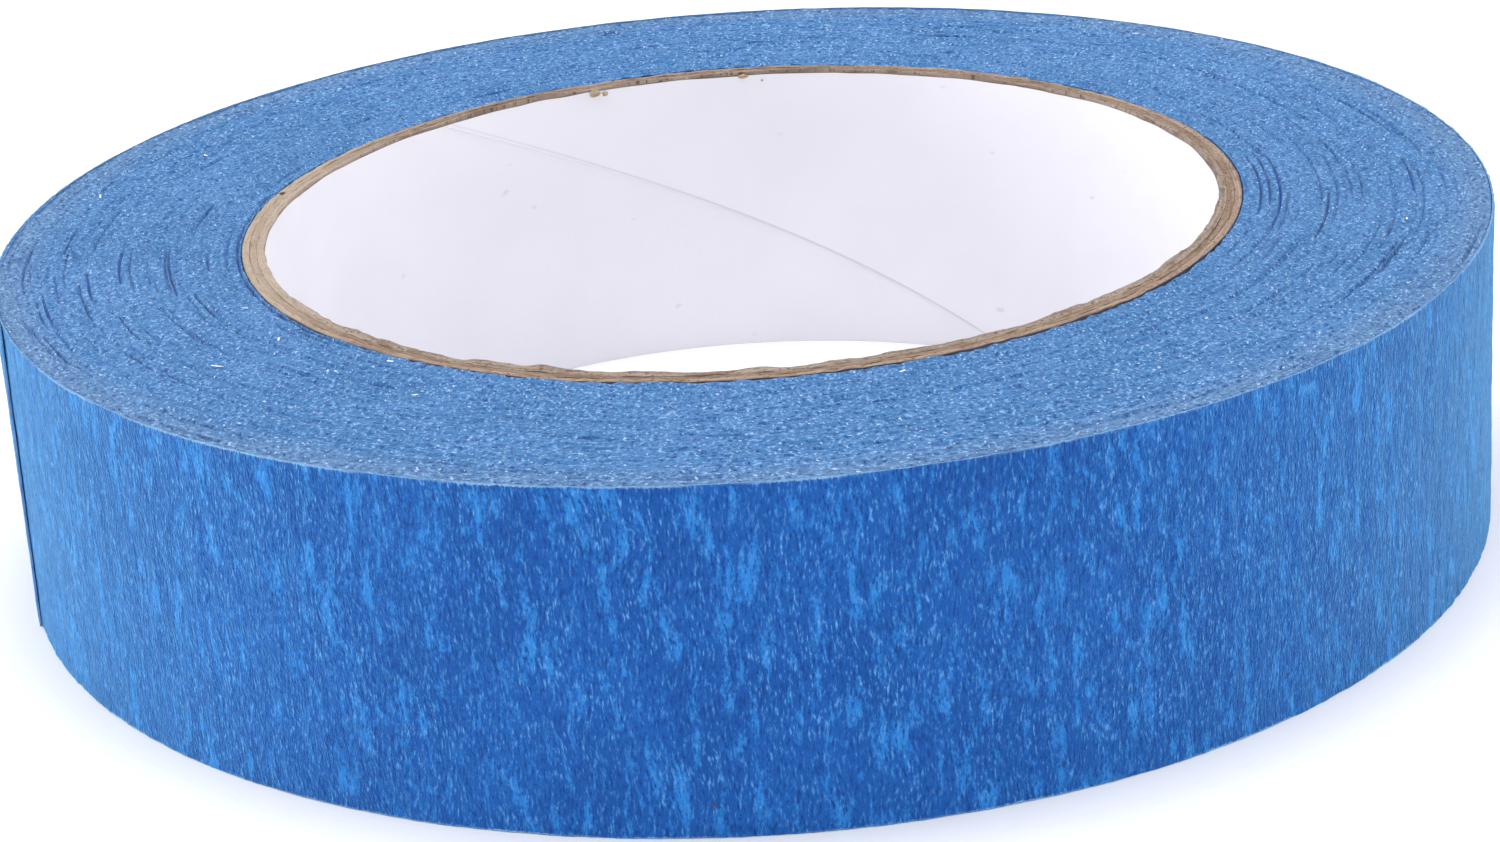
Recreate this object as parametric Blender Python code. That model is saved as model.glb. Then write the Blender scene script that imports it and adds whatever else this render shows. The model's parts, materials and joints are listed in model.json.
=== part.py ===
"""A roll of blue crepe-paper masking tape, lying flat on one of its cut faces.

The roll's axis is +Z and the origin is the middle of the face that it lies on. Angles are in degrees,
counter-clockwise seen from above, from +X. From the bore outwards the pieces are:

  core_liner        white paper strip that lines the bore
  core_ply_inner    three strips of kraft board, wound and glued into the core tube, each with
  core_ply_middle   its own slanting butt seam
  core_ply_outer
  tape_windings     all the turns of tape under the last one, stuck to each other in one pack
  tape_outer_turn   the last turn of the tape, down to where its end comes free
  tape_free_end     the loose end of that turn, which peels away on a hinge line at its root

Every piece is faceted on one angular grid, so that the facets of neighbours are parallel and the thin
glue lines between them stay open all the way round.
"""

import math

import bmesh
import bpy
from mathutils import Vector

# Driving dimensions, in metres
BORE_RADIUS = 0.0381        # half of the standard 3 inch bore
ROLL_RADIUS = 0.0595        # at the tip of the tape's free end
ROLL_WIDTH = 0.0260         # 1 inch tape, whose turns wander a little to either side as it is wound
LINER_THICKNESS = 0.00012
PLY_THICKNESS = 0.00050
GLUE_LINE = 0.00010         # between two layers of the core
CORE_TO_TAPE_GAP = 0.00030
TAPE_THICKNESS = 0.00015    # crepe paper with its adhesive
TURN_GAP = 0.00010          # between two turns of the tape that are modelled apart

# Angles, in degrees
FACETS = 120                # flats round every piece
TIP_ANGLE = 198.0           # the cut end of the tape
TIP_SKEW = 2.25             # how far the cut end trails along its lower edge
ROOT_ANGLE = 174.0          # where the free end leaves the roll: its hinge line
ROOT_CUT = 0.3              # opening between the last turn and the root of the free end
HIDDEN_START = 189.0        # where the last turn starts, under the free end
PLY_SEAM_CUT = 1.0          # opening along a butt seam, measured round the roll
LINER_SEAM_TOP = 132.0      # the liner's seam at its upper edge
LINER_SEAM_RUN = -82.0      # how far round that seam runs on its way down
PLY_SEAM_TOPS = (20.0, 250.0, 140.0)   # inner, middle and outer ply
PLY_SEAM_RUN = 78.0         # the board strips are wound the other way from the liner

FACET_ANGLE = 360.0 / FACETS
TURN_PITCH = TAPE_THICKNESS + TURN_GAP


def clear_scene():
    for item in list(bpy.data.objects):
        bpy.data.objects.remove(item, do_unlink=True)


def make_material(name, colour, roughness):
    material = bpy.data.materials.new(name)
    material.use_nodes = True
    shader = material.node_tree.nodes["Principled BSDF"]
    shader.inputs["Base Color"].default_value = (*colour, 1.0)
    shader.inputs["Roughness"].default_value = roughness
    shader.inputs["Metallic"].default_value = 0.0
    material.diffuse_color = (*colour, 1.0)
    return material


def spiral_radius(angle):
    """Outer surface of the tape's spiral. It reaches ROLL_RADIUS at the tip and grows by one pitch a turn."""
    return ROLL_RADIUS - TURN_PITCH * (TIP_ANGLE - angle) / 360.0


def rim_point(radius_at, angle, height):
    """A point on a faceted rim: grid angles are its corners, and what lies between them is on a flat."""
    steps = angle / FACET_ANGLE
    first = math.floor(steps + 1e-6)
    corners = []
    for corner in (first, first + 1):
        turn = math.radians(corner * FACET_ANGLE)
        radius = radius_at(corner * FACET_ANGLE)
        corners.append(Vector((radius * math.cos(turn), radius * math.sin(turn), height)))
    return corners[0].lerp(corners[1], max(0.0, steps - first))


def grid_angles(start, end, extra=()):
    """The two ends, every grid angle between them, and any further angles, in order."""
    angles = {start, end, *extra}
    corner = math.floor(start / FACET_ANGLE + 1e-6) + 1
    while corner * FACET_ANGLE < end - 1e-6:
        angles.add(corner * FACET_ANGLE)
        corner += 1
    return sorted(angles)


def add_face(mesh, corners):
    """Adds a face from its corners in order, leaving out corners that fall together."""
    loop = []
    for corner in corners:
        if corner not in loop:
            loop.append(corner)
    if len(loop) > 2:
        mesh.faces.new(loop)


def cross_section(mesh, angle, inner, outer, low, high):
    """Four corners of a strip at one angle. At a pointed tip the lower and upper ones are the same."""
    places = ((inner, low), (outer, low), (outer, high), (inner, high))
    if high - low < 1e-7:
        pair = [mesh.verts.new(rim_point(radius_at, angle, low)) for radius_at in (inner, outer)]
        return [pair[0], pair[1], pair[1], pair[0]]
    return [mesh.verts.new(rim_point(radius_at, angle, height)) for radius_at, height in places]


def join_sections(mesh, sections):
    """Four walls between each pair of neighbouring sections: floor, outside, roof and inside."""
    for here, following in zip(sections, sections[1:]):
        for side in range(4):
            after = (side + 1) % 4
            add_face(mesh, (here[side], here[after], following[after], following[side]))


def finish_object(mesh, name, material):
    bmesh.ops.recalc_face_normals(mesh, faces=mesh.faces)
    data = bpy.data.meshes.new(name)
    mesh.to_mesh(data)
    mesh.free()
    data.shade_smooth()
    data.set_sharp_from_angle(angle=math.radians(30.0))
    data.materials.append(material)
    item = bpy.data.objects.new(name, data)
    bpy.context.scene.collection.objects.link(item)
    return item


def make_strip(name, angles, inner, outer, low, high, material):
    """A strip bent round the axis. inner, outer, low and high each give their value at an angle."""
    mesh = bmesh.new()
    sections = [cross_section(mesh, angle, inner, outer, low(angle), high(angle)) for angle in angles]
    join_sections(mesh, sections)
    add_face(mesh, sections[0])
    add_face(mesh, sections[-1])
    return finish_object(mesh, name, material)


def make_core_layer(name, inner_radius, thickness, seam_top, seam_run, material):
    """One layer of the core: a parallelogram of board bent into a tube, with a slanting butt seam.

    The seam meets the upper edge at seam_top and runs seam_run degrees round on its way to the lower
    edge. Laid out flat, the layer starts at a point, is full height in the middle and ends in a point.
    """
    run = abs(seam_run)
    first = min(seam_top, seam_top + seam_run)
    full_turn = first + 360.0 - PLY_SEAM_CUT
    rises = seam_run < 0.0

    def start_share(angle):
        return min(1.0, (angle - first) / run)

    def end_share(angle):
        return max(0.0, (angle - full_turn) / run)

    def low(angle):
        return ROLL_WIDTH * (end_share(angle) if rises else 1.0 - start_share(angle))

    def high(angle):
        return ROLL_WIDTH * (start_share(angle) if rises else 1.0 - end_share(angle))

    angles = grid_angles(first, full_turn + run, extra=(first + run, full_turn))
    return make_strip(
        name, angles,
        lambda angle: inner_radius, lambda angle: inner_radius + thickness,
        low, high, material,
    )


def make_core(liner_material, board_material):
    """Liner and three plies, from the bore outwards. Gives the core's outer radius."""
    make_core_layer(
        "core_liner", BORE_RADIUS, LINER_THICKNESS, LINER_SEAM_TOP, LINER_SEAM_RUN, liner_material,
    )
    radius = BORE_RADIUS + LINER_THICKNESS + GLUE_LINE
    names = ("core_ply_inner", "core_ply_middle", "core_ply_outer")
    for name, seam_top in zip(names, PLY_SEAM_TOPS):
        make_core_layer(name, radius, PLY_THICKNESS, seam_top, PLY_SEAM_RUN, board_material)
        radius += PLY_THICKNESS + GLUE_LINE
    return radius - GLUE_LINE


def make_windings(inner_radius, material):
    """The pack of turns: a thick ring whose outside is one turn of the spiral, with one small step."""
    def inner(angle):
        return inner_radius

    def outer(angle):
        return spiral_radius(angle) - TURN_PITCH

    mesh = bmesh.new()
    angles = grid_angles(HIDDEN_START - 360.0, HIDDEN_START)
    sections = [cross_section(mesh, angle, inner, outer, 0.0, ROLL_WIDTH) for angle in angles[:-1]]
    join_sections(mesh, sections)
    step_low = mesh.verts.new(rim_point(outer, HIDDEN_START, 0.0))
    step_high = mesh.verts.new(rim_point(outer, HIDDEN_START, ROLL_WIDTH))
    last_in_low, last_out_low, last_out_high, last_in_high = sections[-1]
    in_low, out_low, out_high, in_high = sections[0]
    mesh.faces.new((last_in_low, last_out_low, step_low, out_low, in_low))
    mesh.faces.new((last_out_low, last_out_high, step_high, step_low))
    mesh.faces.new((last_out_high, last_in_high, in_high, out_high, step_high))
    mesh.faces.new((last_in_high, last_in_low, in_low, in_high))
    mesh.faces.new((step_low, step_high, out_high, out_low))
    return finish_object(mesh, "tape_windings", material)


def tape_inside(angle):
    return spiral_radius(angle) - TAPE_THICKNESS


def make_outer_turn(material):
    """The last turn at its real thickness. It starts under the free end and ends at the free end's root."""
    angles = grid_angles(HIDDEN_START - 360.0, ROOT_ANGLE - ROOT_CUT)
    return make_strip(
        "tape_outer_turn", angles, tape_inside, spiral_radius,
        lambda angle: 0.0, lambda angle: ROLL_WIDTH, material,
    )


def make_free_end(material):
    """The loose end, cut a little off square, hung from an empty on its hinge line."""
    mesh = bmesh.new()
    angles = grid_angles(ROOT_ANGLE, TIP_ANGLE)
    sections = [
        cross_section(mesh, angle, tape_inside, spiral_radius, 0.0, ROLL_WIDTH) for angle in angles
    ]
    trailing = TIP_ANGLE - TIP_SKEW
    sections[-1][0].co = rim_point(tape_inside, trailing, 0.0)
    sections[-1][1].co = rim_point(spiral_radius, trailing, 0.0)
    join_sections(mesh, sections)
    add_face(mesh, sections[0])
    add_face(mesh, sections[-1])
    item = finish_object(mesh, "tape_free_end", material)
    hinge = bpy.data.objects.new("free_end_hinge", None)
    hinge.empty_display_size = ROLL_WIDTH / 4
    hinge.location = rim_point(spiral_radius, ROOT_ANGLE, ROLL_WIDTH / 2)
    bpy.context.scene.collection.objects.link(hinge)
    item.data.transform(hinge.matrix_basis.inverted())
    item.parent = hinge


def main():
    clear_scene()
    white_paper = make_material("liner_paper", (0.80, 0.79, 0.88), 0.75)
    kraft_board = make_material("kraft_board", (0.40, 0.29, 0.22), 0.90)
    cut_tape = make_material("tape_cut_edges", (0.12, 0.27, 0.58), 0.85)
    crepe_tape = make_material("tape_crepe", (0.04, 0.17, 0.52), 0.60)
    core_radius = make_core(white_paper, kraft_board)
    make_windings(core_radius + CORE_TO_TAPE_GAP, cut_tape)
    make_outer_turn(crepe_tape)
    make_free_end(crepe_tape)
    bpy.context.view_layer.update()


main()
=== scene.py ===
"""A roll of blue masking tape, dressed for its studio picture.

The CAD frame gives the sizes and the hinge of the tape's free end. The meshes here replace every CAD
node: the crinkled crepe paper, the cut faces of the wound pack with the gaps between its turns, the
rough-cut board of the core and its white liner. Angles are in degrees, counter-clockwise from +X seen
from above.
"""

import json
import math

import bmesh
import bpy
import numpy as np
from mathutils import Matrix, Vector


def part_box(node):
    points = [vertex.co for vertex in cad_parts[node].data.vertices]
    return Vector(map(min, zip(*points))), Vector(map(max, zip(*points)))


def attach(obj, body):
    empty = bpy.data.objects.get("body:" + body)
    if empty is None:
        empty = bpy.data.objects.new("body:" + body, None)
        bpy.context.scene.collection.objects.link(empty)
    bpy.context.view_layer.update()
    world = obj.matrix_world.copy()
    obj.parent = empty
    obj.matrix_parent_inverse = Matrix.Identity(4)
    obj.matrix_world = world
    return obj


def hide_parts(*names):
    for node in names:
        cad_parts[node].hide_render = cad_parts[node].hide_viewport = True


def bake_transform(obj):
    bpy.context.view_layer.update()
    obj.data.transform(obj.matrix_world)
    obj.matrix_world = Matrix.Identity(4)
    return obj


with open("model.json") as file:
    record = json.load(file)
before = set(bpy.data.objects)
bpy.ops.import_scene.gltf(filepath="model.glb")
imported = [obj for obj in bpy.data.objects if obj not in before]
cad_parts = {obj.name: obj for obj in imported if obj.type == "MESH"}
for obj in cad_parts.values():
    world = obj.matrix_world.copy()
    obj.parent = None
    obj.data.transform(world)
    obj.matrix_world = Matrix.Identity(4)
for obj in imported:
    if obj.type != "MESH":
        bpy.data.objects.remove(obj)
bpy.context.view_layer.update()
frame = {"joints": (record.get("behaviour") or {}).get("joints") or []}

MM = 0.001

# Sizes from the frame
TAPE_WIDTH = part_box("tape_windings")[1].z
LINER_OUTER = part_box("core_liner")[1].x
CORE_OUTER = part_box("core_ply_outer")[1].x
HINGE = Vector(frame["joints"][0]["pos_m"])
ROLL_OUTER = math.hypot(HINGE.x, HINGE.y)
ROOT_ANGLE = math.degrees(math.atan2(HINGE.y, HINGE.x)) % 360.0

# Thicknesses of paper and board
LINER_THICKNESS = 0.12 * MM
BORE_RADIUS = LINER_OUTER - LINER_THICKNESS
TAPE_THICKNESS = 0.14 * MM
PLY_COUNT = 3
PLY_PITCH = (CORE_OUTER - LINER_OUTER) / PLY_COUNT
PLY_GAP = 0.02 * MM                 # shows as a fine dark line between two plies

# The liner's slanting seam, from the upper edge down
LINER_SEAM_TOP = 132.0
LINER_SEAM_RUN = -82.0

# The free end
TIP_ANGLE = ROOT_ANGLE + 24.0
TIP_SKEW = 2.25                     # how far the cut trails along its lower edge
TIP_LIFT = 0.12 * MM                # how far the tip stands off the turn below
TURN_START = ROOT_ANGLE - 345.0     # the last turn begins under the free end


def spiral_radius(angle):
    """Outside of the tape at an angle of its own winding: it grows by one thickness a turn."""
    return ROLL_OUTER + TAPE_THICKNESS * (angle - ROOT_ANGLE) / 360.0


# ---------------------------------------------------------------- relief and mesh tools

SHARP_ANGLE = 60.0                  # faces that meet more steeply than this are shaded as a hard edge
LOWER_GRAIN_SHIFT = 300.0 * MM      # takes the lower faces to another part of the same grain


def relief(rows, cols, row_step, col_step, row_grain, col_grain, seed):
    """Random relief of unit spread, with grains of the given size. It closes on itself both ways."""
    noise = np.random.default_rng(seed).standard_normal((rows, cols))
    row_waves = np.fft.fftfreq(rows)[:, None] * row_grain / row_step
    col_waves = np.fft.rfftfreq(cols)[None, :] * col_grain / col_step
    blur = np.exp(-2.0 * math.pi**2 * (row_waves**2 + col_waves**2))
    smooth = np.fft.irfft2(np.fft.rfft2(noise) * blur, s=noise.shape)
    return smooth / smooth.std()


def wave_line(cols, length, grain, seed):
    """One line of random relief round a closed edge."""
    return relief(1, cols, 1.0, length / cols, 0.0, grain, seed)[0]


def layered_relief(size, steps, layers, seed_shift=0):
    """Several reliefs added up, in millimetres. A layer is its height, its two grains and its seed."""
    return sum(
        height * relief(*size, *steps, row_grain * MM, col_grain * MM, seed + seed_shift)
        for height, row_grain, col_grain, seed in layers
    )


def angle_apart(angles, angle):
    """Signed angle from one direction to others, between -180 and 180."""
    return (np.asarray(angles) - angle + 180.0) % 360.0 - 180.0


def mesh_object(name, points, faces, grain=None, materials=(), face_material=None):
    """A mesh from arrays. grain is each point's place on the paper, in millimetres, for materials."""
    data = bpy.data.meshes.new(name)
    sizes = np.array([len(face) for face in faces], np.int32)
    corners = np.concatenate([np.asarray(face, np.int32).ravel() for face in faces])
    data.vertices.add(len(points))
    data.vertices.foreach_set("co", np.asarray(points, np.float32).ravel())
    data.loops.add(len(corners))
    data.loops.foreach_set("vertex_index", corners)
    data.polygons.add(len(sizes))
    starts = np.concatenate([[0], np.cumsum(sizes)[:-1]])
    data.polygons.foreach_set("loop_start", starts.astype(np.int32))
    if grain is not None:
        layer = data.attributes.new("grain", "FLOAT_VECTOR", "POINT")
        layer.data.foreach_set("vector", np.asarray(grain, np.float32).ravel())
    for material in materials:
        data.materials.append(material)
    if face_material is not None:
        data.polygons.foreach_set("material_index", np.asarray(face_material, np.int32))
    data.update(calc_edges=True)
    data.validate()
    data.shade_smooth()
    data.set_sharp_from_angle(angle=math.radians(SHARP_ANGLE))
    item = bpy.data.objects.new(name, data)
    bpy.context.scene.collection.objects.link(item)
    return item


def loft(name, sections, grain, closed, materials, ring_material=None):
    """A tube through sections[column, corner], each a closed ring of points.

    closed joins the last section to the first one; otherwise both ends are capped. ring_material
    gives the material index of each strip of faces, in the order of the ring's corners. The caps take
    the highest one.
    """
    columns, corners = sections.shape[:2]
    column = np.arange(columns if closed else columns - 1)[:, None]
    corner = np.arange(corners)[None, :]
    following, beside = (column + 1) % columns, (corner + 1) % corners
    faces = np.stack([
        column * corners + corner, column * corners + beside,
        following * corners + beside, following * corners + corner,
    ], axis=-1).reshape(-1, 4)
    strip = np.zeros(corners, int) if ring_material is None else np.asarray(ring_material)
    face_material = np.tile(strip, len(column))
    points = sections.reshape(-1, 3)
    quads = points[faces]
    across = np.cross(quads[:, 2] - quads[:, 0], quads[:, 3] - quads[:, 1])
    inside_out = np.sum(quads.mean(axis=1) * across) < 0.0
    faces = list(faces)
    if not closed:
        faces.append(np.arange(corners)[::-1])
        faces.append((columns - 1) * corners + np.arange(corners))
        face_material = np.concatenate([face_material, [strip.max(), strip.max()]])
    if inside_out:
        faces = [face[::-1] for face in faces]
    return mesh_object(name, points, faces, grain.reshape(-1, 3), materials, face_material)


def on_roll(radius, angle, height):
    """Points from cylinder coordinates, angle in degrees. The arrays are broadcast together."""
    turn = np.radians(angle)
    places = np.broadcast_arrays(radius * np.cos(turn), radius * np.sin(turn), height)
    return np.stack(places, axis=-1)


def ring_grain(mean_radius, angles, radius, below):
    """Places for a ring's materials: round the roll at one radius, so they join up, and outwards.

    below tells which points belong to the lower face. Its grain comes from elsewhere in the paper.
    """
    turn = np.radians(angles)[:, None] + np.zeros_like(radius)
    around = mean_radius * np.cos(turn) + LOWER_GRAIN_SHIFT * below
    return np.stack([around, mean_radius * np.sin(turn), radius], axis=-1) / MM


def put_on(piece, node):
    """A piece that rides on the roll and replaces a CAD node."""
    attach(piece, "roll")
    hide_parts(node)


# ---------------------------------------------------------------- materials


class Graph:
    """A material's node tree, with short ways to add what the materials here share."""

    def __init__(self, name):
        self.material = bpy.data.materials.new(name)
        self.material.use_nodes = True
        self.tree = self.material.node_tree
        self.shader = self.tree.nodes["Principled BSDF"]

    def add(self, kind, inputs=(), **settings):
        """A node with its settings. Inputs that are sockets are linked, the others are values."""
        node = self.tree.nodes.new(kind)
        for key, value in settings.items():
            setattr(node, key, value)
        for key, value in dict(inputs).items():
            if isinstance(value, bpy.types.NodeSocket):
                self.tree.links.new(value, node.inputs[key])
            else:
                node.inputs[key].default_value = value
        return node

    def place(self):
        """Places on the paper in millimetres, from the mesh."""
        return self.add("ShaderNodeAttribute", attribute_name="grain").outputs["Vector"]

    def object_place(self):
        """Places in the piece's own coordinates, in metres, with Z up from the floor."""
        return self.add("ShaderNodeTexCoord").outputs["Object"]

    def noise(self, place, size, detail=2.0, roughness=0.5, seed=0.0):
        """Noise whose blobs have the given size in millimetres along each direction."""
        inverse = tuple(1.0 / length for length in size)
        scaled = self.add("ShaderNodeVectorMath", {0: place, 1: inverse}, operation="MULTIPLY")
        inputs = {"Vector": scaled.outputs[0], "W": seed, "Scale": 1.0, "Detail": detail}
        inputs["Roughness"] = roughness
        return self.add("ShaderNodeTexNoise", inputs, noise_dimensions="4D").outputs["Fac"]

    def leaning(self, place, size, reach, seed):
        """The same places, shifted round the roll a little here and there, so that marks lean."""
        lean = self.noise(place, (size, size, size), 1.0, seed=seed)
        shift = self.ramp(lean, 0.2, 0.8, -reach, reach, "LINEAR")
        offset = self.add("ShaderNodeCombineXYZ", {"X": shift}).outputs[0]
        return self.add("ShaderNodeVectorMath", {0: place, 1: offset}, operation="ADD").outputs[0]

    def apart(self, vector):
        """The three parts of a vector, by their letters."""
        return self.add("ShaderNodeSeparateXYZ", {0: vector}).outputs

    def ramp(self, value, low, high, low_to=0.0, high_to=1.0, kind="SMOOTHSTEP"):
        """A value that goes from low_to to high_to as another one goes from low to high."""
        return self.add(
            "ShaderNodeMapRange",
            {"Value": value, "From Min": low, "From Max": high, "To Min": low_to, "To Max": high_to},
            interpolation_type=kind,
        ).outputs["Result"]

    def math(self, operation, first, second=0.0):
        return self.add("ShaderNodeMath", {0: first, 1: second}, operation=operation).outputs[0]

    def mix(self, share, first, second):
        """A share of the second colour over the first. 0, 6, 7 and 2 are the node's colour sockets."""
        node = self.add("ShaderNodeMix", data_type="RGBA")
        for index, value in ((0, share), (6, first), (7, second)):
            if isinstance(value, bpy.types.NodeSocket):
                self.tree.links.new(value, node.inputs[index])
            else:
                node.inputs[index].default_value = value
        return node.outputs[2]

    def bump(self, height, distance, strength=1.0):
        inputs = {"Height": height, "Distance": distance, "Strength": strength}
        return self.add("ShaderNodeBump", inputs).outputs["Normal"]

    def finish(self, colour, roughness, normal=None, **sockets):
        """Gives the shader its colour, roughness and bump, and values that are the same all over."""
        self.tree.links.new(colour, self.shader.inputs["Base Color"])
        if isinstance(roughness, bpy.types.NodeSocket):
            self.tree.links.new(roughness, self.shader.inputs["Roughness"])
        else:
            self.shader.inputs["Roughness"].default_value = roughness
        if normal is not None:
            self.tree.links.new(normal, self.shader.inputs["Normal"])
        for key, value in sockets.items():
            self.shader.inputs[key.replace("_", " ")].default_value = value
        return self.material


def srgb(red, green, blue):
    """A colour from its 8-bit values, as the linear one that shaders take."""
    def linear(value):
        value /= 255.0
        return value / 12.92 if value <= 0.04045 else ((value + 0.055) / 1.055) ** 2.4
    return linear(red), linear(green), linear(blue), 1.0


def crepe_material():
    """Crinkled blue crepe paper: blue ground and soft pale flecks across the tape, with painted
    highlights on the crests of its fine crinkles and painted shade in their folds.

    In some stretches the paper is worn pale along its two edges.
    """
    graph = Graph("crepe_paper")
    paper = graph.place()
    place = graph.leaning(paper, 5.0, 0.3, seed=9.0)
    # Pale flecks across the tape, wide and thin ones, with ragged outlines
    ragged = graph.noise(place, (0.18, 0.30, 1.0), 2.0, 0.6, seed=2.0)
    frayed = graph.ramp(ragged, 0.2, 0.8, -0.11, 0.11, "LINEAR")
    wide = graph.math("ADD", graph.noise(place, (0.95, 3.8, 1.0), 2.0, 0.5, seed=1.0), frayed)
    thin = graph.math("ADD", graph.noise(place, (0.42, 2.2, 1.0), 2.0, 0.5, seed=3.0), frayed)
    flecks = graph.math("MULTIPLY", graph.ramp(wide, 0.53, 0.70), 0.88)
    streaks = graph.math("MULTIPLY", graph.ramp(thin, 0.58, 0.71), 0.65)
    light = graph.math("MAXIMUM", flecks, streaks)
    # Fine dashes: painted highlights where crests of the crinkles catch the light in patches, and
    # painted shade in the folds
    dashes = graph.noise(place, (0.18, 0.66, 1.0), 2.0, 0.6, seed=4.0)
    patches = graph.ramp(graph.noise(place, (3.0, 4.5, 1.0), 2.0, seed=7.0), 0.38, 0.62, 0.55, 1.0)
    crest_highlight = graph.math("MULTIPLY", graph.ramp(dashes, 0.53, 0.75), patches)
    dark = graph.math("MULTIPLY", graph.ramp(dashes, 0.46, 0.33), 0.85)
    clouds = graph.noise(place, (8.0, 10.0, 1.0), 2.0, 0.5, seed=5.0)
    colour = graph.mix(graph.ramp(clouds, 0.35, 0.65), srgb(13, 79, 160), srgb(19, 87, 169))
    colour = graph.mix(light, colour, srgb(44, 132, 214))
    # Painted shade in the folds, then painted highlights on the crests of the crinkles
    colour = graph.mix(dark, colour, srgb(11, 56, 131))
    colour = graph.mix(crest_highlight, colour, srgb(98, 165, 228))
    # Fuzzy, worn edges, with the height on the tape from the grain
    half = 0.5 * TAPE_WIDTH / MM
    from_middle = graph.math("ABSOLUTE", graph.math("SUBTRACT", graph.apart(paper)["Y"], half))
    fuzzy = graph.math("ADD", from_middle, graph.ramp(ragged, 0.3, 0.7, -0.08, 0.08, "LINEAR"))
    worn = graph.ramp(graph.noise(paper, (9.0, 40.0, 40.0), 1.0, seed=8.0), 0.40, 0.62, 0.05, 0.9)
    rim = graph.math("MULTIPLY", graph.ramp(fuzzy, half - 0.20, half - 0.07), worn)
    colour = graph.mix(rim, colour, srgb(142, 181, 217))
    tooth = graph.noise(place, (0.10, 0.18, 1.0), 1.0, 0.5, seed=6.0)
    crinkle = graph.math("ADD", dashes, graph.math("MULTIPLY", tooth, 0.4))
    normal = graph.bump(crinkle, 0.21 * MM)
    rough = graph.ramp(dashes, 0.3, 0.7, 0.62, 0.50)
    return graph.finish(
        colour, rough, normal, Specular_IOR_Level=0.15, Sheen_Weight=0.55, Sheen_Roughness=0.42,
        Sheen_Tint=srgb(132, 223, 255),
    )


def cut_edge_material(name="tape_cut_edges", pale=0.0):
    """Cut edges of the wound tape: greyish blue, with fine fibre ends strung out along the turns.

    The blue is deeper down in the open gaps. pale is the share of a lighter blue over all of it: a
    painted highlight for the proud edges of the last turn and the free end.
    """
    graph = Graph(name)
    place = graph.place()
    strung = graph.noise(place, (0.33, 0.33, 0.30), 2.0, 0.6, seed=1.0)
    turns = graph.noise(place, (7.0, 7.0, 0.30), 2.0, 0.5, seed=2.0)
    specks = graph.noise(place, (0.30, 0.30, 0.22), 1.0, 0.5, seed=3.0)
    clouds = graph.noise(place, (9.0, 9.0, 5.0), 2.0, 0.5, seed=4.0)
    # Greyer over the outermost turns
    rim = ROLL_OUTER / MM
    grey = graph.ramp(graph.apart(place)["Z"], rim - 4.5, rim - 0.8, 0.0, 0.55)
    colour = graph.mix(graph.ramp(clouds, 0.35, 0.65), srgb(55, 105, 157), srgb(66, 113, 166))
    colour = graph.mix(grey, colour, srgb(97, 122, 154))
    colour = graph.mix(graph.ramp(turns, 0.47, 0.34, 0.0, 0.6), colour, srgb(44, 84, 138))
    colour = graph.mix(graph.ramp(strung, 0.47, 0.34, 0.0, 0.9), colour, srgb(24, 63, 125))
    colour = graph.mix(graph.ramp(strung, 0.54, 0.68, 0.0, 0.9), colour, srgb(119, 164, 211))
    colour = graph.mix(graph.ramp(specks, 0.63, 0.72, 0.0, 0.85), colour, srgb(175, 198, 228))
    # How far a place is sunk under the nearer cut face
    half = 0.5 * TAPE_WIDTH
    height = graph.apart(graph.object_place())["Z"]
    from_middle = graph.math("ABSOLUTE", graph.math("SUBTRACT", height, half))
    sunk = graph.math("SUBTRACT", half, from_middle)
    colour = graph.mix(graph.ramp(sunk, 0.28 * MM, 0.70 * MM, 0.0, 0.9), colour, srgb(18, 96, 210))
    # Painted highlight: the share pale of a lighter blue over the whole edge
    colour = graph.mix(pale, colour, srgb(135, 176, 221))
    normal = graph.bump(graph.math("ADD", strung, specks), 0.18 * MM)
    return graph.finish(
        colour, 0.85, normal, Specular_IOR_Level=0.2, Sheen_Weight=0.25,
        Sheen_Tint=srgb(172, 214, 255),
    )


def kraft_material(name, pale, mid, seed):
    """Cut edge of grey-brown board: layered fibres with darker streaks and pale fibre ends.

    The board is painted paler on the left side of the roll, painted light where the strong left lamp
    falls, and painted shade darkens it along the gap to the tape.
    """
    graph = Graph(name)
    place = graph.place()
    layers = graph.noise(place, (5.0, 5.0, 0.16), 3.0, 0.6, seed=seed)
    fibres = graph.noise(place, (0.36, 0.36, 0.18), 2.0, 0.6, seed=seed + 1.0)
    stains = graph.noise(place, (2.2, 2.2, 0.6), 2.0, 0.5, seed=seed + 2.0)
    colour = graph.mix(graph.ramp(layers, 0.32, 0.68), mid, pale)
    colour = graph.mix(graph.ramp(stains, 0.48, 0.32, 0.0, 0.75), colour, srgb(112, 93, 79))
    colour = graph.mix(graph.ramp(fibres, 0.48, 0.33, 0.0, 0.9), colour, srgb(95, 78, 66))
    colour = graph.mix(graph.ramp(fibres, 0.62, 0.76, 0.0, 0.55), colour, srgb(202, 193, 179))
    parts = graph.apart(place)
    # Painted light: paler towards the left of the roll, where the strong left lamp falls
    colour = graph.mix(graph.ramp(parts["X"], -27.0, -37.0, 0.0, 0.40), colour, srgb(186, 172, 157))
    # Painted shade along the gap between the board and the tape
    ragged = graph.math("ADD", parts["Z"], graph.ramp(fibres, 0.3, 0.7, -0.06, 0.06, "LINEAR"))
    limit = CORE_OUTER / MM
    gap_shade = graph.ramp(ragged, limit - 0.11, limit - 0.03, 0.0, 0.7)
    colour = graph.mix(gap_shade, colour, srgb(62, 80, 108))
    normal = graph.bump(fibres, 0.12 * MM, 0.8)
    return graph.finish(colour, 0.92, normal, Specular_IOR_Level=0.15)


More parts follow.
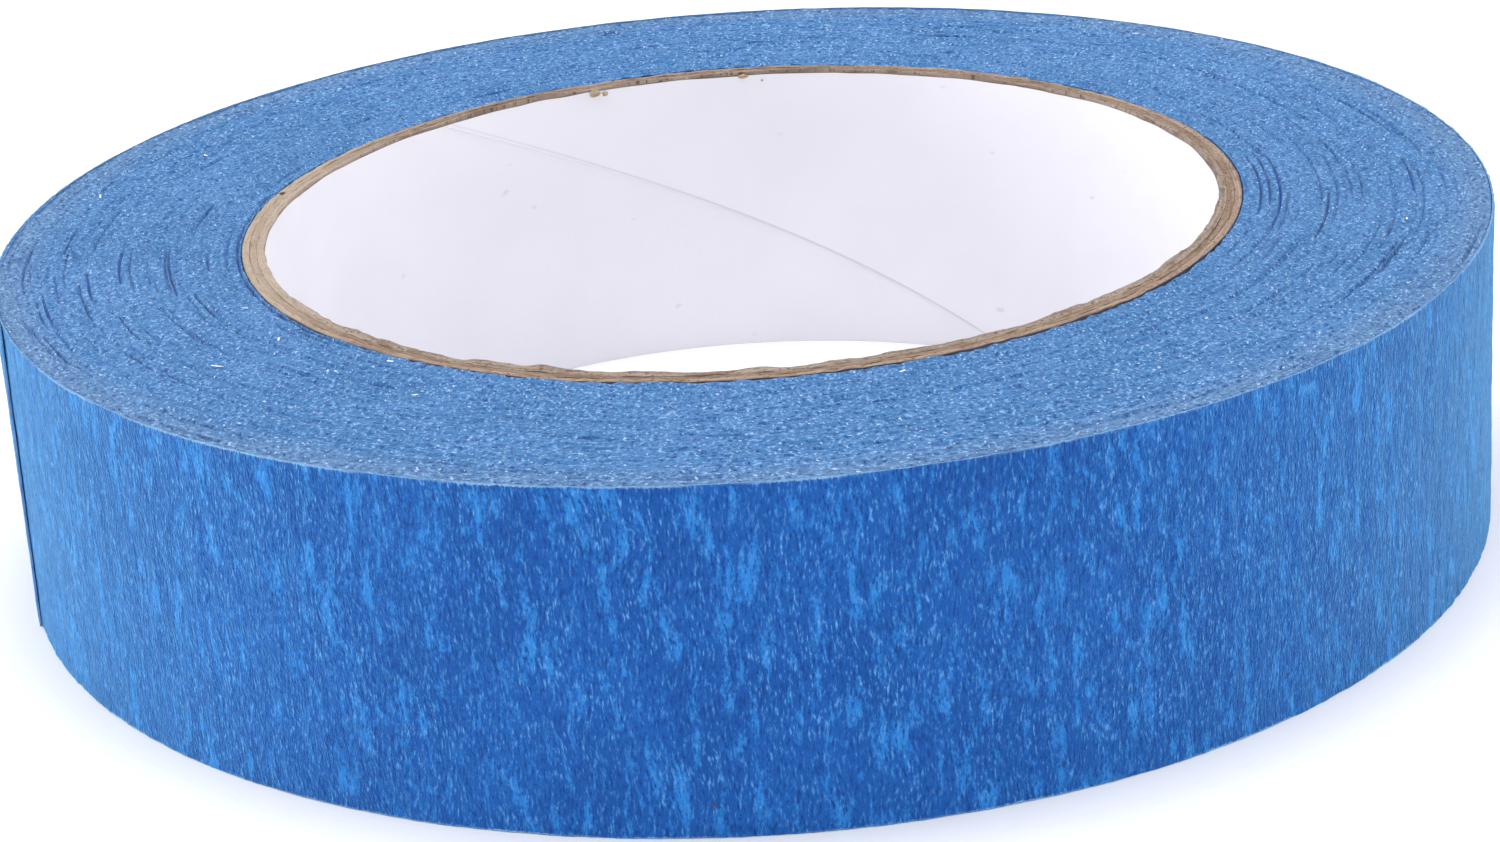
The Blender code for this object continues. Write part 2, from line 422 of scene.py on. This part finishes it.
def liner_material():
    """Smooth white liner paper: faint clouds, a few smudges, a fine tooth and a painted shadow along
    its seam.
    """
    graph = Graph("liner_paper")
    place = graph.place()
    clouds = graph.noise(place, (9.0, 9.0, 9.0), 2.0, 0.5, seed=1.0)
    tooth = graph.noise(place, (0.22, 0.22, 0.22), 2.0, 0.5, seed=2.0)
    smudges = graph.noise(place, (2.4, 2.4, 1.4), 1.0, 0.5, seed=3.0)
    colour = graph.mix(graph.ramp(clouds, 0.3, 0.7), srgb(224, 223, 230), srgb(227, 226, 233))
    colour = graph.mix(graph.ramp(smudges, 0.73, 0.80, 0.0, 0.4), colour, srgb(188, 182, 184))
    # A painted shadow along the seam, under the edge where the liner laps, by the angle from the seam
    # round the bore. It is stronger towards the foot.
    parts = graph.apart(graph.object_place())
    turn = graph.math("ARCTAN2", parts["Y"], parts["X"])
    slant = graph.math("MULTIPLY", parts["Z"], math.radians(-LINER_SEAM_RUN) / TAPE_WIDTH)
    foot = math.radians(LINER_SEAM_TOP + LINER_SEAM_RUN)
    beside = graph.math("ABSOLUTE", graph.math("SUBTRACT", graph.math("SUBTRACT", turn, slant), foot))
    line = graph.ramp(beside, math.radians(0.55), math.radians(0.12), 0.0, 0.65)
    deeper = graph.ramp(parts["Z"], TAPE_WIDTH, 0.3 * TAPE_WIDTH, 0.35, 1.0)
    colour = graph.mix(graph.math("MULTIPLY", line, deeper), colour, srgb(186, 184, 194))
    normal = graph.bump(tooth, 0.02 * MM, 0.5)
    return graph.finish(colour, 0.85, normal, Specular_IOR_Level=0.10)


def adhesive_material():
    """Underside of the tape: a duller, paler blue, a little glossy with its adhesive."""
    graph = Graph("tape_adhesive_side")
    place = graph.place()
    mottle = graph.noise(place, (0.5, 1.4, 1.0), 3.0, 0.6, seed=1.0)
    dashes = graph.noise(place, (0.17, 0.66, 1.0), 2.0, 0.6, seed=4.0)
    colour = graph.mix(graph.ramp(mottle, 0.35, 0.65), srgb(70, 122, 178), srgb(102, 152, 200))
    colour = graph.mix(graph.ramp(dashes, 0.45, 0.30, 0.0, 0.4), colour, srgb(48, 96, 156))
    normal = graph.bump(graph.math("ADD", mottle, dashes), 0.06 * MM, 0.6)
    return graph.finish(colour, 0.38, normal, Specular_IOR_Level=0.45)


def crumb_material(name, first, second):
    """Paper fibres and crumbs of board: two close tones, mottled, with a soft uneven surface."""
    graph = Graph(name)
    place = graph.place()
    tone = graph.noise(place, (0.25, 0.25, 0.25), 2.0, 0.5, seed=1.0)
    colour = graph.mix(graph.ramp(tone, 0.35, 0.65), first, second)
    return graph.finish(colour, 0.85, graph.bump(tone, 0.05 * MM, 0.6), Specular_IOR_Level=0.2)


# ---------------------------------------------------------------- the tape

CREPE_COLUMNS = 1640        # round a full turn
CREPE_ROWS = 58             # across the width
CREPE_LAYERS = (            # height, grain across the tape and round the roll in millimetres, seed
    (0.016, 0.55, 0.16, 11),
    (0.018, 1.6, 0.38, 12),
    (0.012, 5.0, 4.0, 13),
)
CREASE_ANGLE = 265.0        # a faint level crease in the last turn
CREASE_HALF_ARC = 4.5       # degrees
CREASE_HEIGHT = 0.05 * MM
CREASE_ROW = 17
TURN_COLUMNS = round(CREPE_COLUMNS * (ROOT_ANGLE - TURN_START) / 360.0)
TURN_INSET = 0.04 * MM      # from the frame's height to the tape's edges
TURN_WANDER = 0.012 * MM    # how far those edges wander up and down
END_COLUMNS = 150
END_LIFT_FROM = 0.8         # share of the free end's length where it starts to stand off
WALL_COLUMNS = 120
WALL_BEFORE = 8.0           # degrees of wall that reach under the last turn
WALL_END = TURN_START + 359.8
WALL_CRINKLES_FROM = 300    # column of the relief
WALL_CRINKLE_SHARE = 0.4    # the turn below is pressed flatter
WALL_GAP = 0.03 * MM
WALL_INSET = 0.06 * MM
GRAIN_RADIUS = 60.0         # the radius in millimetres from which the tape's grain is counted


def crepe_relief():
    """Crinkles of the crepe paper, rows across the tape and columns round a full turn, in metres."""
    around = 2.0 * math.pi * ROLL_OUTER
    steps = (TAPE_WIDTH / CREPE_ROWS, around / CREPE_COLUMNS)
    return MM * layered_relief((CREPE_ROWS, CREPE_COLUMNS), steps, CREPE_LAYERS)


def tape_strip(name, angles, crinkles, outer, edges, materials):
    """A strip of tape bent round the roll, closed all round, with crinkled paper on its outside.

    angles[column, row] are the places round the roll, crinkles[column, row] is the relief, outer is
    the outside radius, and edges the lower and upper edge at each column. materials are those of the
    outside, of the two cut edges and of the inside.
    """
    rows = crinkles.shape[1]
    low, high = edges
    share = np.linspace(0.0, 1.0, rows)[None, :]
    height = low[:, None] + (high - low)[:, None] * share
    radius = np.concatenate([outer + crinkles, outer[:, [-1, 0]] - TAPE_THICKNESS], axis=1)
    level = np.concatenate([height, height[:, [-1, 0]]], axis=1)
    turn = np.concatenate([angles, angles[:, [-1, 0]]], axis=1)
    sections = on_roll(radius, turn, level)
    around = np.radians(turn) * ROLL_OUTER
    grain = np.stack([around / MM, level / MM, radius / MM - GRAIN_RADIUS], axis=-1)
    ring_material = [0] * (rows - 1) + [1, 2, 1]
    return loft(name, sections, grain, False, materials, ring_material)


def make_outer_turn(materials, crinkles):
    """The last turn, from its start under the free end round to the hinge line."""
    angles = np.linspace(TURN_START, ROOT_ANGLE, TURN_COLUMNS)[:, None] + np.zeros((1, CREPE_ROWS))
    columns = np.arange(TURN_COLUMNS) % CREPE_COLUMNS
    around = 2.0 * math.pi * ROLL_OUTER
    wander = TURN_WANDER * wave_line(CREPE_COLUMNS, around, 1.2 * MM, seed=14)[columns]
    edges = (TURN_INSET + wander, TAPE_WIDTH - TURN_INSET + wander)
    surface = crinkles[:, columns].T
    from_crease = angle_apart(angles[:, 0], CREASE_ANGLE) / CREASE_HALF_ARC
    surface[:, CREASE_ROW] += CREASE_HEIGHT * np.exp(-(from_crease**4))
    outer = spiral_radius(angles)
    turn = tape_strip("tape_outer_turn_crepe", angles, surface, outer, edges, materials)
    put_on(turn, "tape_outer_turn")


def make_free_end(materials, crinkles):
    """The loose end. Its columns lean with the cut towards the tip, which stands off a little."""
    share = np.linspace(0.0, 1.0, END_COLUMNS)[:, None]
    rising = np.linspace(0.0, 1.0, CREPE_ROWS)[None, :]
    tip = TIP_ANGLE - TIP_SKEW * (1.0 - rising)
    angles = ROOT_ANGLE + (tip - ROOT_ANGLE) * share
    run = CREPE_COLUMNS * (TIP_ANGLE - ROOT_ANGLE) / 360.0
    picked = (TURN_COLUMNS + (run * share[:, 0]).astype(int)) % CREPE_COLUMNS
    lift = TIP_LIFT * np.clip((share - END_LIFT_FROM) / (1.0 - END_LIFT_FROM), 0.0, 1.0) ** 2
    edges = (np.full(END_COLUMNS, TURN_INSET), np.full(END_COLUMNS, TAPE_WIDTH - TURN_INSET))
    surface, outer = crinkles[:, picked].T, spiral_radius(angles) + lift
    end = tape_strip("tape_free_end_crepe", angles, surface, outer, edges, materials)
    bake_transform(end)
    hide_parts("tape_free_end")


def make_wall_under_free_end(materials, crinkles):
    """The turn before the last, where peeling the free end lays it bare."""
    along = np.linspace(ROOT_ANGLE - WALL_BEFORE, WALL_END, WALL_COLUMNS)
    angles = along[:, None] + np.zeros((1, CREPE_ROWS))
    edges = (np.full(WALL_COLUMNS, WALL_INSET), np.full(WALL_COLUMNS, TAPE_WIDTH - WALL_INSET))
    outer = spiral_radius(angles) - TAPE_THICKNESS - WALL_GAP
    columns = WALL_CRINKLES_FROM + np.arange(WALL_COLUMNS)
    surface = WALL_CRINKLE_SHARE * crinkles[:, columns].T
    wall = tape_strip("windings_wall_crepe", angles, surface, outer, edges, materials)
    put_on(wall, "tape_windings")


# ---------------------------------------------------------------- the wound pack

PACK_BANDS = ("inner", "middle", "outer")
PACK_WIDTH = ROLL_OUTER - CORE_OUTER
BAND_TURNS = round(PACK_WIDTH / TAPE_THICKNESS / len(PACK_BANDS))
PACK_TURNS = BAND_TURNS * len(PACK_BANDS)
PACK_COLUMNS = 1440
PACK_MIDDLE = (CORE_OUTER + ROLL_OUTER) / 2
PACK_STEPS = (TAPE_THICKNESS, 2.0 * math.pi * PACK_MIDDLE / PACK_COLUMNS)
PACK_SINK = 0.14 * MM       # from the frame's height to the middle of the upper face's relief
PACK_GAP = 0.06 * MM        # to the last turn
PACK_RELIEF_LIMIT = 0.13    # millimetres
PACK_LAYERS = (             # height, grain outwards and round the roll in millimetres, seed
    (0.045, 0.10, 0.24, 21),
    (0.030, 0.12, 1.2, 25),
    (0.026, 0.10, 14.0, 22),
    (0.014, 1.8, 7.0, 23),
)
LOWER_ROWS = 18             # rows of points across a band's lower face
LOWER_SINK = 0.08 * MM
LOWER_DENTS = 0.02 * MM
CORE_GAP = (0.07, 0.03)     # between core and tape in millimetres: its mean and its spread
CORE_GAP_HALF_ARC = 11.0    # degrees
CORE_GAPS = ((324.0, 0.16), (2.0, 0.04))    # where it opens: angle, extra opening in millimetres
WIDE_GAP_DEPTH = 0.52 * MM
LEAST_GAP_DEPTH = 0.12      # millimetres
GAP_REACH = (0.04, 0.97)    # shares of the pack's width between which the scattered gaps lie
GAP_ARCS = (                # the widest gaps between turns: angle, radius and length in millimetres
    (196.0, 56.0, 9.0), (205.0, 57.2, 8.0), (191.0, 52.3, 8.0), (186.0, 49.8, 9.0), (203.0, 51.0, 7.0),
    (202.0, 44.6, 9.0), (352.0, 43.0, 26.0), (355.0, 41.5, 16.0), (357.0, 42.1, 14.0),
    (356.0, 53.5, 9.0), (335.0, 53.6, 9.0), (178.0, 54.6, 7.0), (212.0, 53.0, 6.0),
    (345.0, 46.8, 12.0), (5.0, 48.5, 8.0), (208.0, 40.3, 30.0), (178.0, 40.3, 20.0),
)
GAP_FIELDS = (              # more gaps: count, first and last angle, shortest, longest and deepest
    (44, 172.0, 228.0, 4.0, 14.0, 0.32), (40, 320.0, 392.0, 7.0, 20.0, 0.30),
    (50, 228.0, 316.0, 1.0, 3.5, 0.22), (60, 30.0, 176.0, 2.0, 7.0, 0.28),
)


def pack_outside(angles):
    """Outside of the pack: one turn of the spiral, with its step where the last turn starts."""
    winding = (angles - TURN_START) % 360.0 + TURN_START
    return spiral_radius(winding) - TAPE_THICKNESS - PACK_GAP


def pack_inside(angles):
    """Inside of the pack. The tape's first turn is loose on the core in places."""
    around = 2.0 * math.pi * CORE_OUTER
    mean, spread = CORE_GAP
    gap = mean + spread * np.clip(wave_line(len(angles), around, 9.0 * MM, seed=24), -1.0, 2.5)
    for angle, opening in CORE_GAPS:
        gap = gap + opening * np.exp(-((angle_apart(angles, angle) / CORE_GAP_HALF_ARC) ** 2))
    return CORE_OUTER + gap * MM


def open_gaps(top, angles):
    """Lowers short arcs of single turns, tapered at both ends, where the tape was wound loosely."""
    rng = np.random.default_rng(26)
    arcs = [(angle, radius * MM, length * MM, WIDE_GAP_DEPTH) for angle, radius, length in GAP_ARCS]
    for count, first, last, shortest, longest, deepest in GAP_FIELDS:
        for _ in range(count):
            arcs.append((
                rng.uniform(first, last), CORE_OUTER + PACK_WIDTH * rng.uniform(*GAP_REACH),
                rng.uniform(shortest, longest) * MM, rng.uniform(LEAST_GAP_DEPTH, deepest) * MM,
            ))
    for angle, radius, length, depth in arcs:
        row = int(round((radius - CORE_OUTER) / PACK_WIDTH * PACK_TURNS))
        half = math.degrees(0.5 * length / radius)
        along = np.clip(1.0 - (angle_apart(angles, angle) / half) ** 2, 0.0, 1.0)
        top[:, row] -= depth * np.sqrt(along)


def pack_top(angles):
    """Heights of the pack's upper face, with one row of points for each turn: top[column, turn]."""
    rough = layered_relief((PACK_TURNS + 1, PACK_COLUMNS), PACK_STEPS, PACK_LAYERS)
    limited = np.clip(rough, -PACK_RELIEF_LIMIT, PACK_RELIEF_LIMIT)
    top = TAPE_WIDTH - PACK_SINK + MM * limited.T
    open_gaps(top, angles)
    return top


def make_windings(edge_material):
    """The pack as nested bands of turns, each a closed ring with an upper and a lower face."""
    angles = np.arange(PACK_COLUMNS) * 360.0 / PACK_COLUMNS
    inner, outer = pack_inside(angles)[:, None], pack_outside(angles)[:, None]
    top = pack_top(angles)
    lower_steps = (TAPE_THICKNESS * BAND_TURNS / LOWER_ROWS, PACK_STEPS[1])
    for number, name in enumerate(PACK_BANDS):
        rows = number * BAND_TURNS + np.arange(BAND_TURNS + 1)
        upper_share = rows / PACK_TURNS
        lower_share = np.linspace(upper_share[-1], upper_share[0], LOWER_ROWS)
        share = np.concatenate([upper_share, lower_share])[None, :]
        wide = inner + (outer - inner) * share
        dents = relief(LOWER_ROWS, PACK_COLUMNS, *lower_steps, 0.4 * MM, 0.8 * MM, seed=27 + number)
        bottom = LOWER_SINK + LOWER_DENTS * np.clip(dents, -2.5, 2.5).T
        level = np.concatenate([top[:, rows], bottom], axis=1)
        below = (np.arange(wide.shape[1])[None, :] > BAND_TURNS) + np.zeros_like(wide)
        sections = on_roll(wide, angles[:, None], level)
        grain = ring_grain(PACK_MIDDLE, angles, wide, below)
        pack = loft(f"windings_{name}_turns", sections, grain, True, [edge_material])
        put_on(pack, "tape_windings")


# ---------------------------------------------------------------- the core

PLIES = (                   # from the bore outwards: CAD node, depth under the tape's edges, two tones
    ("core_ply_inner", 0.08 * MM, srgb(156, 142, 131), srgb(126, 110, 100)),
    ("core_ply_middle", 0.10 * MM, srgb(149, 130, 113), srgb(118, 96, 82)),
    ("core_ply_outer", 0.08 * MM, srgb(163, 144, 130), srgb(135, 114, 101)),
)
PLY_COLUMNS = 1400
PLY_ROWS = 8
PLY_LAYERS = (              # height, grain outwards and round the roll in millimetres, seed
    (0.025, 0.09, 0.35, 31),
    (0.020, 0.25, 2.2, 41),
)
PLY_RELIEF_LIMIT = 0.08 * MM
PLY_ROUNDING = 0.03 * MM    # drop at a ply's two corners
PLY_WOBBLE = 0.02 * MM      # waver of the innermost edge round the bore
BURR_ROOT = 0.24 * MM       # depth under the tape's edges at which the burr leaves the bore's wall
BURR_LIP = 0.22 * MM        # its mean height is 0.6 of this
BURR_COARSE = 0.07 * MM     # how far it hangs inwards: large and small tatters
BURR_FINE = 0.03 * MM


def torn_burr(around):
    """Tatters of the innermost edge: how far they stand up and how far they hang into the bore."""
    lip = np.clip(0.6 + 0.4 * wave_line(PLY_COLUMNS, around, 1.4 * MM, seed=63), 0.0, 1.6)
    coarse = np.clip(wave_line(PLY_COLUMNS, around, 0.9 * MM, seed=61), 0.0, 3.0)
    fine = np.clip(wave_line(PLY_COLUMNS, around, 0.25 * MM, seed=62), 0.0, 3.0)
    return BURR_LIP * lip[:, None], (BURR_COARSE * coarse + BURR_FINE * fine)[:, None]


def make_ply(number, name, sink, material):
    """A ply with a rough-sawn rim. The inner one carries a torn burr that hangs over the liner."""
    inner = LINER_OUTER + number * PLY_PITCH + PLY_GAP / 2
    outer = inner + PLY_PITCH - PLY_GAP
    angles = np.arange(PLY_COLUMNS) * 360.0 / PLY_COLUMNS
    around = 2.0 * math.pi * inner
    steps = (PLY_PITCH / PLY_ROWS, around / PLY_COLUMNS)
    rough = MM * layered_relief((PLY_ROWS, PLY_COLUMNS), steps, PLY_LAYERS, number).T
    share = np.linspace(0.0, 1.0, PLY_ROWS)[None, :]
    rounding = PLY_ROUNDING * np.abs(2.0 * share - 1.0) ** 3
    top = TAPE_WIDTH - sink - rounding + np.clip(rough, -PLY_RELIEF_LIMIT, PLY_RELIEF_LIMIT)
    bottom = TAPE_WIDTH - top[:, ::-1]
    rim = inner + (outer - inner) * share + np.zeros((PLY_COLUMNS, 1))
    if number == 0:
        wobble = PLY_WOBBLE * wave_line(PLY_COLUMNS, around, 1.5 * MM, seed=51)[:, None]
        lip, burr = torn_burr(around)
        top = top + lip * (1.0 - share) ** 2
        rim = rim + wobble * (1.0 - share) - burr * (1.0 - share) ** 3
    root = np.full((PLY_COLUMNS, 1), inner)
    root_level = np.full((PLY_COLUMNS, 1), TAPE_WIDTH - BURR_ROOT)
    lower_share = share[:, ::-1]
    lower_rim = inner + (outer - inner) * lower_share + np.zeros((PLY_COLUMNS, 1))
    wide = np.concatenate([root, rim, lower_rim], axis=1)
    level = np.concatenate([root_level, top, bottom], axis=1)
    below = (np.arange(wide.shape[1])[None, :] > PLY_ROWS) + np.zeros_like(wide)
    sections = on_roll(wide, angles[:, None], level)
    grain = ring_grain(inner, angles, wide, below)
    ply = loft(f"{name}_board", sections, grain, True, [material])
    put_on(ply, name)


LINER_COLUMNS = 1400
LINER_ROWS = 30
LINER_LAP = 9.0             # degrees over which its end comes up over its start
LINER_LAP_RISE = 0.10 * MM
LINER_LAP_CUT = 0.10        # degrees from the seam to either end of the strip
LINER_PUCKERS = 0.012 * MM
LINER_BACK_GAP = 0.01 * MM
LINER_FRONT_GAP = 0.05 * MM  # from the frame's bore to the middle of the puckers
LINER_SINK = 0.34 * MM      # from the tape's edges to the liner's upper edge
LINER_CUT_WAVER = 0.030 * MM
LINER_FOOT = 0.01 * MM


def make_liner(material):
    """The liner: a strip wound on a slant. Its columns run along the slanting seam, where it laps."""
    around = 2.0 * math.pi * BORE_RADIUS
    steps = (TAPE_WIDTH / LINER_ROWS, around / LINER_COLUMNS)
    share = np.linspace(0.0, 1.0, LINER_COLUMNS)[:, None]
    down = np.linspace(0.0, 1.0, LINER_ROWS)[None, :]
    seam = LINER_SEAM_TOP + LINER_SEAM_RUN * down
    angles = seam + LINER_LAP_CUT + (360.0 - 2.0 * LINER_LAP_CUT) * share
    puckers = relief(LINER_ROWS, LINER_COLUMNS, *steps, 5.0 * MM, 7.0 * MM, seed=71)
    near_seam = np.exp(-((1.0 - share) * 360.0 / LINER_LAP) ** 2)
    inside = BORE_RADIUS + LINER_FRONT_GAP + LINER_PUCKERS * np.clip(puckers, -2.5, 2.5).T
    inside = inside - LINER_LAP_RISE * near_seam
    waver = np.clip(wave_line(LINER_COLUMNS, around, 1.0 * MM, seed=72), -2.0, 2.0)[:, None]
    high = TAPE_WIDTH - LINER_SINK + LINER_CUT_WAVER * waver
    level = high + (LINER_FOOT - high) * down
    outside = np.full((LINER_COLUMNS, LINER_ROWS), LINER_OUTER - LINER_BACK_GAP)
    wide = np.concatenate([inside, outside], axis=1)
    turn = np.concatenate([angles, angles[:, ::-1]], axis=1)
    height = np.concatenate([level, level[:, ::-1]], axis=1)
    sections = on_roll(wide, turn, height)
    grain = on_roll(BORE_RADIUS + np.zeros_like(wide), turn, height) / MM
    liner = loft("core_liner_paper", sections, grain, True, [material])
    put_on(liner, "core_liner")


# ---------------------------------------------------------------- stray fibres and crumbs

FIBRE_THICKNESS = 0.07 * MM
FIBRE_DEPTH = 0.06 * MM     # from the tape's edges to the middle of a fibre
FIBRES = (                  # angle, radius, length, width and lean, lengths in millimetres
    (166.0, 55.2, 0.9, 0.16, 20.0), (153.0, 51.5, 0.7, 0.14, 60.0), (216.0, 43.0, 0.8, 0.16, -35.0),
    (218.0, 49.2, 1.1, 0.16, 25.0), (230.5, 41.0, 0.6, 0.20, 10.0), (238.5, 45.6, 0.5, 0.18, 40.0),
    (284.6, 41.9, 0.6, 0.18, 15.0), (49.0, 56.5, 0.8, 0.16, 30.0), (228.0, 44.6, 0.9, 0.12, -20.0),
    (205.0, 42.0, 0.5, 0.12, 50.0), (344.0, 53.0, 0.5, 0.14, 10.0), (300.0, 52.0, 0.4, 0.10, 70.0),
)
BOARD_CRUMBS = (            # angle, radius, depth under the tape's edges, and the three sizes
    (109.0, 37.95, 0.42, 1.0, 0.30, 0.75), (107.6, 37.98, 0.60, 0.5, 0.2, 0.5),
    (88.5, 37.97, 0.35, 0.9, 0.26, 0.4), (86.0, 37.97, 0.80, 0.22, 0.12, 0.2),
    (230.0, 38.1, 0.20, 0.7, 0.3, 0.25), (318.0, 38.1, 0.22, 0.8, 0.3, 0.22),
)
DARK_SPECKS = ((164.0, 39.6, 0.10, 0.75, 0.5, 0.14), (265.7, 59.50, 23.4, 0.26, 0.10, 0.2))


def crumb_shape(place, sizes, turn, bend, rng):
    """An uneven closed blob: a ball stretched to three sizes, roughened, bent and put in its place."""
    mesh = bmesh.new()
    bmesh.ops.create_icosphere(mesh, subdivisions=2, radius=0.5)
    points = np.array([corner.co for corner in mesh.verts])
    faces = [[corner.index for corner in face.verts] for face in mesh.faces]
    mesh.free()
    points *= 1.0 + 0.12 * rng.standard_normal((len(points), 1))
    points[:, 1] += bend * points[:, 0] ** 2
    points = points * np.asarray(sizes)
    rotation = np.array(Matrix.Rotation(math.radians(turn), 3, "Z"))
    return points @ rotation.T + np.asarray(place), faces


def make_crumbs(name, shapes, material, node):
    """One piece from several shapes, each given by its points and faces."""
    points = np.concatenate([shape[0] for shape in shapes])
    faces, base = [], 0
    for corners, triangles in shapes:
        faces += [np.array(triangle) + base for triangle in triangles]
        base += len(corners)
    crumbs = mesh_object(name, points, faces, points / MM, [material])
    put_on(crumbs, node)


def scatter_crumbs(fibre_material, board_material, dark_material):
    """Paper fibres on the cut face, crumbs of board at the torn rim and two dark specks."""
    rng = np.random.default_rng(81)
    fibres = []
    for angle, radius, length, width, lean in FIBRES:
        place = on_roll(radius * MM, angle, TAPE_WIDTH - FIBRE_DEPTH)
        sizes = (length * MM, width * MM, FIBRE_THICKNESS)
        fibres.append(crumb_shape(place, sizes, angle + 90.0 + lean, 1.2, rng))
    make_crumbs("stray_paper_fibres", fibres, fibre_material, "tape_windings")
    for name, items, material, node in (
        ("torn_board_crumbs", BOARD_CRUMBS, board_material, "core_ply_inner"),
        ("dark_specks", DARK_SPECKS, dark_material, "core_ply_outer"),
    ):
        shapes = []
        for angle, radius, depth, *sizes in items:
            place = on_roll(radius * MM, angle, TAPE_WIDTH - depth * MM)
            shapes.append(crumb_shape(place, np.array(sizes) * MM, angle + 90.0, 0.8, rng))
        make_crumbs(name, shapes, material, node)


# ---------------------------------------------------------------- stage, lights and camera

CAMERA_ELEVATION = 20.25
CAMERA_DISTANCE = 298.9 * MM        # from the middle of the roll
CAMERA_TILT = 1.049                 # the view is centred a little under the middle of the roll
CAMERA_PAN = -0.077
CAMERA_ROLL = -3.77
CAMERA_LENS = 87.74
SENSOR_WIDTH = 36.0
CLIP_START = 0.01
CLIP_END = 10.0


def make_camera():
    """The camera at the photograph's viewing angle."""
    data = bpy.data.cameras.new("camera")
    data.sensor_width = SENSOR_WIDTH
    data.lens = CAMERA_LENS
    data.clip_start = CLIP_START
    data.clip_end = CLIP_END
    camera = bpy.data.objects.new("camera", data)
    bpy.context.scene.collection.objects.link(camera)
    rise = math.radians(CAMERA_ELEVATION)
    middle = Vector((0.0, 0.0, TAPE_WIDTH / 2))
    place = middle + CAMERA_DISTANCE * Vector((0.0, -math.cos(rise), math.sin(rise)))
    camera.matrix_world = (
        Matrix.Translation(place)
        @ Matrix.Rotation(math.radians(90.0 - CAMERA_ELEVATION), 4, "X")
        @ Matrix.Rotation(math.radians(-CAMERA_PAN), 4, "Y")
        @ Matrix.Rotation(math.radians(-CAMERA_TILT), 4, "X")
        @ Matrix.Rotation(math.radians(CAMERA_ROLL), 4, "Z")
    )
    bpy.context.scene.camera = camera


FLOOR_HALF_SIZE = 3.0
FLOOR_GAP = 0.005 * MM      # the floor lies just under the roll
WORLD_STRENGTH = 0.60
SOFTBOX_DISTANCE = 1.0
SOFTBOX_SIZE = 0.7
SOFTBOXES = (               # azimuth from the camera's side, to the right, then elevation and power
    ("softbox_top", 180.0, 88.0, 8.7),
    ("softbox_front", -8.0, 16.0, 2.4),
    ("softbox_left", -108.0, 10.0, 8.7),
    ("softbox_right", 104.0, 10.0, 4.5),
)


def make_softbox(name, azimuth, elevation, power):
    """A square area light that faces the roll."""
    data = bpy.data.lights.new(name, "AREA")
    data.size = SOFTBOX_SIZE
    data.energy = power
    light = bpy.data.objects.new(name, data)
    bpy.context.scene.collection.objects.link(light)
    place = SOFTBOX_DISTANCE * on_roll(math.cos(math.radians(elevation)), azimuth - 90.0, 0.0)
    light.location = (place[0], place[1], SOFTBOX_DISTANCE * math.sin(math.radians(elevation)))
    light.rotation_mode = "QUATERNION"
    light.rotation_quaternion = (-light.location).to_track_quat("-Z", "Y")


def make_stage():
    """A plain pale floor, an even white surround and four soft lights."""
    graph = Graph("studio_floor")
    haze = graph.add("ShaderNodeTexNoise", {"Scale": 3.0, "Detail": 2.0}).outputs["Fac"]
    colour = graph.mix(haze, srgb(241, 241, 244), srgb(243, 243, 246))
    material = graph.finish(colour, 0.9, None, Specular_IOR_Level=0.1)
    size = FLOOR_HALF_SIZE
    points = [(-size, -size, 0.0), (size, -size, 0.0), (size, size, 0.0), (-size, size, 0.0)]
    floor = mesh_object("studio_floor", points, [[0, 1, 2, 3]], None, [material])
    floor.location.z = -FLOOR_GAP
    world = bpy.data.worlds.new("studio")
    world.use_nodes = True
    background = world.node_tree.nodes["Background"]
    background.inputs["Color"].default_value = (1.0, 1.0, 1.0, 1.0)
    background.inputs["Strength"].default_value = WORLD_STRENGTH
    bpy.context.scene.world = world
    for name, azimuth, elevation, power in SOFTBOXES:
        make_softbox(name, azimuth, elevation, power)
    bpy.context.scene.view_settings.view_transform = "Standard"


make_camera()
make_stage()
crepe = crepe_material()
edges = cut_edge_material()
# A paler copy of the cut edges' material: painted highlight on the proud edges of the last turn and
# the free end
highlit_rim_edges = cut_edge_material("tape_rim_edge_highlight", 0.3)
adhesive = adhesive_material()
crinkles = crepe_relief()
make_outer_turn([crepe, highlit_rim_edges, adhesive], crinkles)
make_free_end([crepe, highlit_rim_edges, adhesive], crinkles)
make_wall_under_free_end([crepe, edges, adhesive], crinkles)
make_windings(edges)
for number, (node, sink, pale, mid) in enumerate(PLIES):
    board = kraft_material(node.replace("core_ply", "kraft"), pale, mid, 10.0 * number)
    make_ply(number, node, sink, board)
make_liner(liner_material())
scatter_crumbs(
    crumb_material("white_fibres", srgb(226, 226, 232), srgb(240, 238, 238)),
    crumb_material("torn_board", srgb(150, 128, 104), srgb(182, 162, 136)),
    crumb_material("dark_specks", srgb(70, 52, 44), srgb(98, 78, 64)),
)
